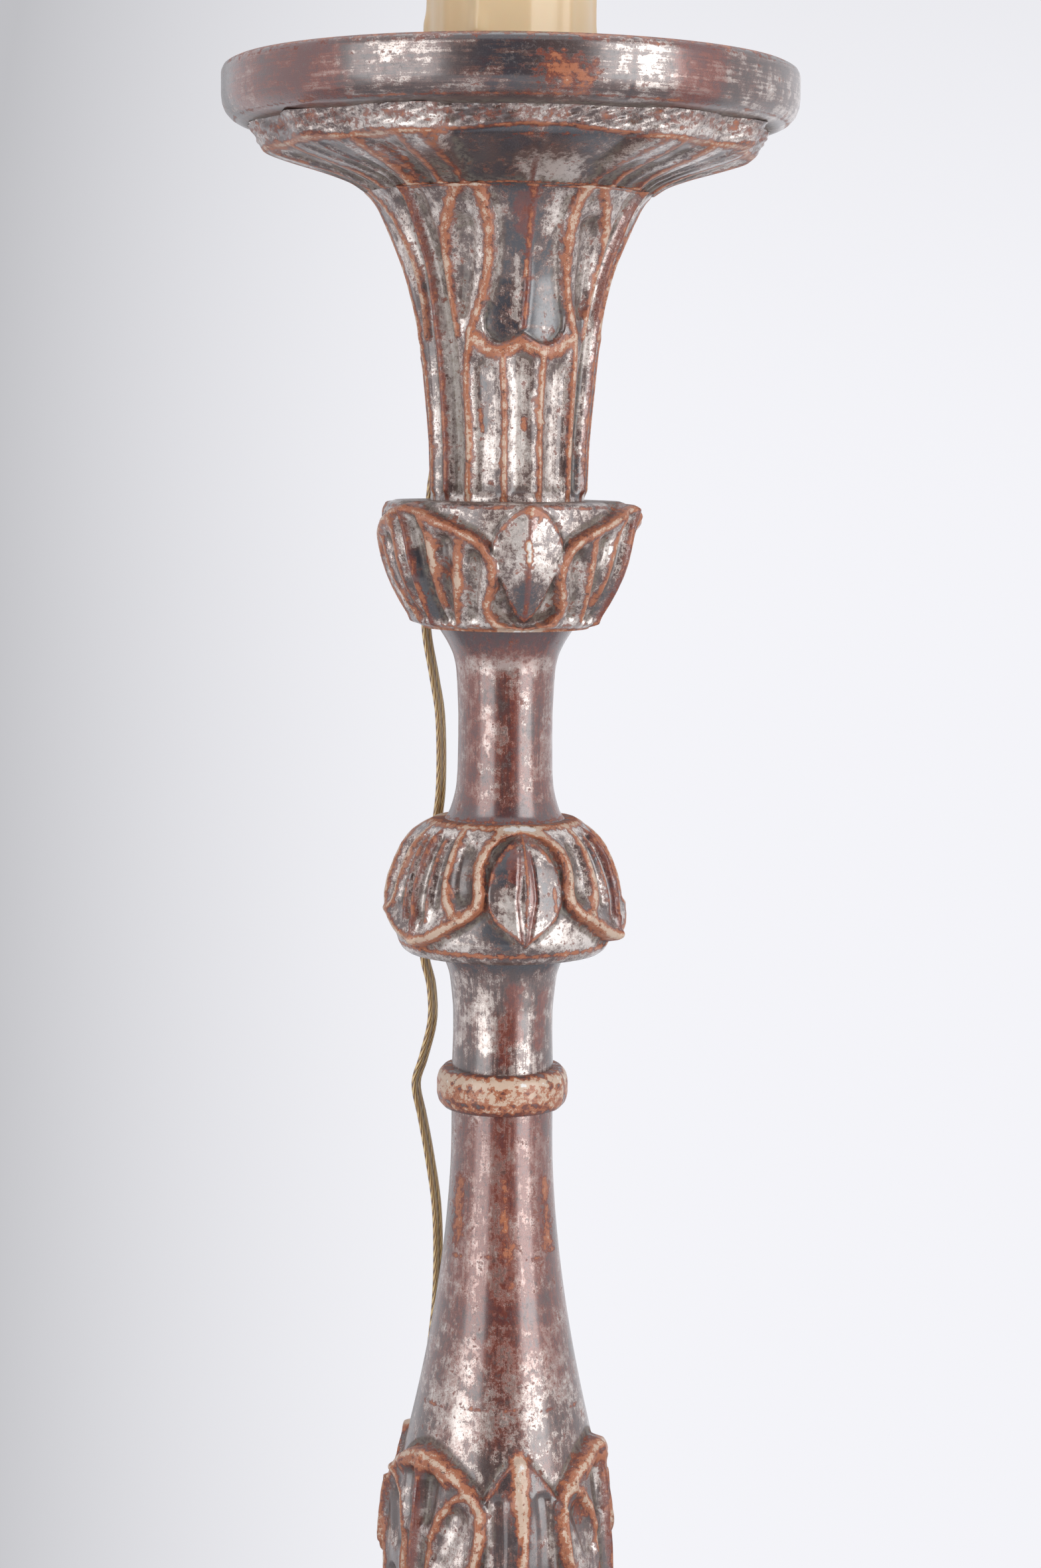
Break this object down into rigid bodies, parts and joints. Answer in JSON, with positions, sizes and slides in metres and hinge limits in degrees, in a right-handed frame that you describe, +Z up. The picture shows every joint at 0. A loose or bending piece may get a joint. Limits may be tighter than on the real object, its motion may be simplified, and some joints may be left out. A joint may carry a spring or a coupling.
{
  "type": "candlestick floor lamp",
  "caption": "Tall candlestick floor lamp: leaf-carved silvered wooden stem on a triangular base with scroll brackets, drip pan, imitation candle and bulb, cord with foot switch and plug.",
  "frame": {"origin": "on the stem's axis at the middle of the plinth's underside, at floor level", "axes": "+Z up along the stem, -Y towards the front, where a small leaf faces, +X to the right"},
  "size_m": [0.3024, 0.34, 1.521],
  "materials": {
    "silvered_wood": "silver leaf over red bole, rubbed and darkened",
    "worn_gesso_wood": "worn gesso and bole",
    "plain_wood": "bare turned wood",
    "steel": "plain zinced steel",
    "nickel": "nickelled brass",
    "brass": "dull brass",
    "porcelain": "unglazed white",
    "candle_resin": "cream resin with wax-like drips",
    "bulb_glass": "clear",
    "gold_cord": "clear gold flat twin cord",
    "gold_plastic": "gold-brown moulded"
  },
  "bodies": {
    "stand": {"plinth": "silvered_wood", "base_block": "silvered_wood", "scroll_right": "silvered_wood", "scroll_left": "silvered_wood", "scroll_back": "silvered_wood", "dowels": "plain_wood", "base_cap": "silvered_wood", "knop": "silvered_wood", "baluster": "silvered_wood", "collar_ring": "worn_gesso_wood", "neck": "silvered_wood", "drooping_cup": "silvered_wood", "spool": "silvered_wood", "rising_cup": "silvered_wood", "trumpet": "silvered_wood", "flare_block": "silvered_wood", "drip_pan": "silvered_wood", "pan_screws": "steel", "flange": "steel", "flange_screws": "steel", "threaded_tube": "brass", "lock_nuts": "brass", "holder_cap": "brass", "holder_skirt": "brass", "holder_insert": "porcelain", "screw_shell": "brass", "contact_tongue": "brass", "terminal_screws": "brass", "inner_lead": "gold_cord", "exit_bush": "brass", "cord_drop": "gold_cord", "switch_base": "gold_plastic", "switch_cover": "gold_plastic", "switch_spring": "steel", "switch_contacts": "brass", "switch_glands": "gold_plastic", "switch_screws": "steel", "cord_lead": "gold_cord", "cord_coil": "gold_cord", "cord_tail": "gold_cord", "plug_body": "gold_plastic", "plug_gland": "gold_plastic", "plug_pins": "nickel"},
    "candle": {"candle_sleeve": "candle_resin"},
    "bulb": {"bulb_cap": "brass", "bulb_contact": "brass", "bulb_glass": "bulb_glass", "bulb_stem": "bulb_glass", "bulb_filament": "steel"},
    "button": {"switch_button": "gold_plastic"}
  },
  "joints": [
    {"name": "candle_lift", "type": "slide", "parent": "stand", "child": "candle", "axis": [0, 0, 1], "range_m": [0, 0.24]},
    {"name": "bulb_lift", "type": "slide", "parent": "stand", "child": "bulb", "axis": [0, 0, 1], "range_m": [0, 0.12]},
    {"name": "button_press", "type": "slide", "parent": "stand", "child": "button", "axis": [0, 0, -1], "range_m": [0, 0.004], "stiffness_N_per_m": 600, "deforming": ["switch_spring"]}
  ]
}
